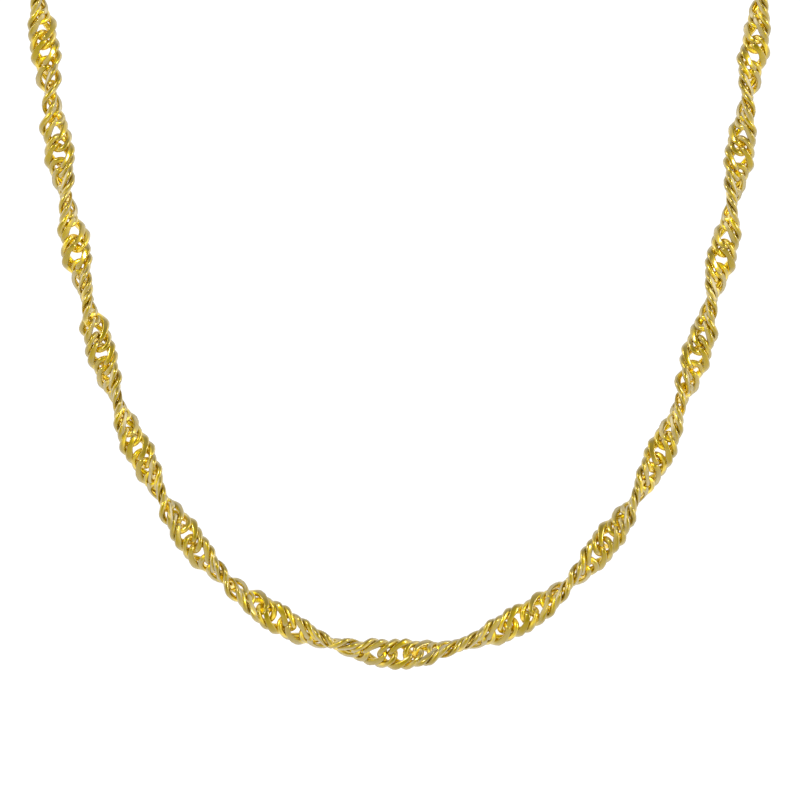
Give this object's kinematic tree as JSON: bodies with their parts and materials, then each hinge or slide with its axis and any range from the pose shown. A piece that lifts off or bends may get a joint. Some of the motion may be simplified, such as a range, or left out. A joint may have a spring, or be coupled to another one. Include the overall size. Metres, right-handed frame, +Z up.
{
  "type": "twisted chain necklace",
  "caption": "Fine twisted chain necklace in yellow gold, a closed loop that hangs in a deep U at the front and fastens with a small ring clasp at the nape.",
  "frame": {"origin": "middle of the neck that the loop is worn round, level with the chain at the sides of the neck", "axes": "+X to the wearer's left, +Y from the front curve to the nape, +Z up along the neck"},
  "size_m": [0.0938, 0.1057, 0.1135],
  "materials": {
    "chain_gold": "polished yellow gold plate, diamond cut",
    "clasp_gold": "polished yellow gold plate"
  },
  "bodies": {
    "root": {"chain": "chain_gold", "clasp": "clasp_gold"}
  },
  "joints": []
}
